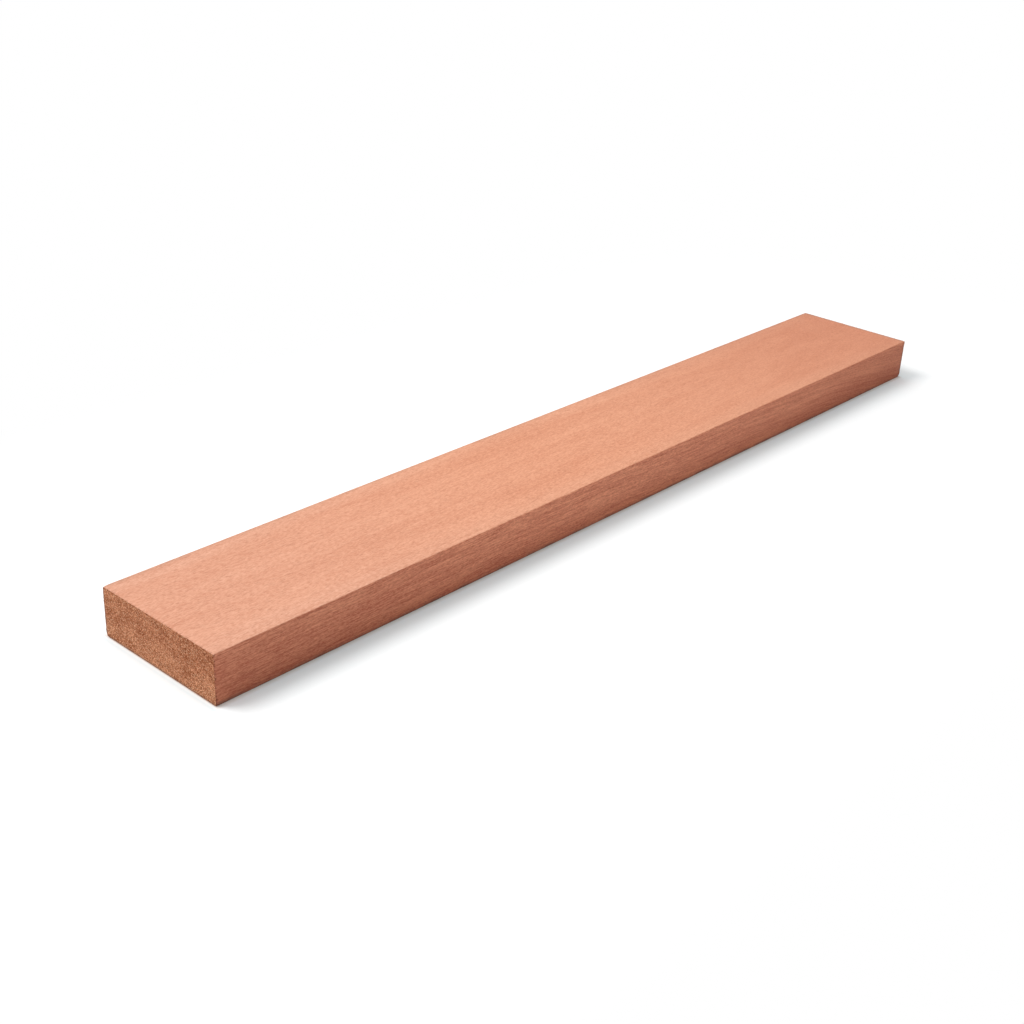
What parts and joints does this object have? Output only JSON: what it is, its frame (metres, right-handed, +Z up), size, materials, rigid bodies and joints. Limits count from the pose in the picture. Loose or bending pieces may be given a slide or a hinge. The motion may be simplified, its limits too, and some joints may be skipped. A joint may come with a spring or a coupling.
{
  "type": "hardwood board",
  "caption": "Straight planed hardwood board of rectangular section with square sawn ends and one eased long arris.",
  "frame": {"origin": "middle of the wide underside that the board lies on", "axes": "+X along the board, +Y across its width towards the edge with the eased lower arris, +Z up through its thickness"},
  "size_m": [0.5, 0.068, 0.022],
  "materials": {
    "hardwood": "matte"
  },
  "bodies": {
    "root": {"board": "hardwood"}
  },
  "joints": []
}
